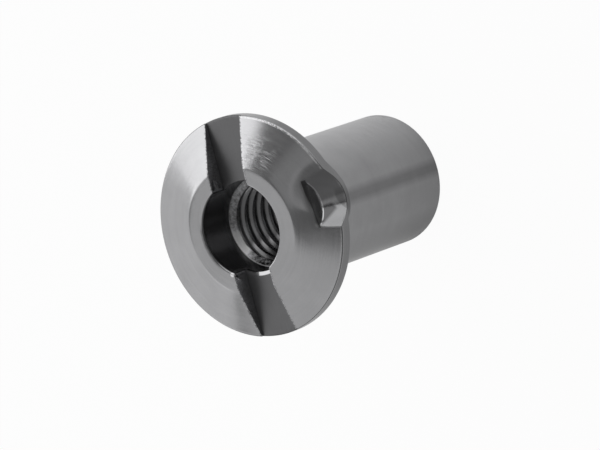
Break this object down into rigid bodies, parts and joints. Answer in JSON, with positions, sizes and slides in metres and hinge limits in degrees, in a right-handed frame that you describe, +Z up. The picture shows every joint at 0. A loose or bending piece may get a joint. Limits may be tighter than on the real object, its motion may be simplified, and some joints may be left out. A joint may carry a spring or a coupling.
{
  "type": "clutch adjuster nut",
  "caption": "Slotted round-head adjuster nut on a long plain shank with an internal thread and a punched locking pip under the head.",
  "frame": {"origin": "centre of the shank's free end, on which the nut stands", "axes": "+Z up the nut's axis to the slotted face, slot along Y, locking pip near +X"},
  "size_m": [0.019, 0.019, 0.0216],
  "materials": {
    "steel": "bright turned steel, fine turning marks, satin"
  },
  "bodies": {
    "root": {"adjuster_nut": "steel"}
  },
  "joints": []
}
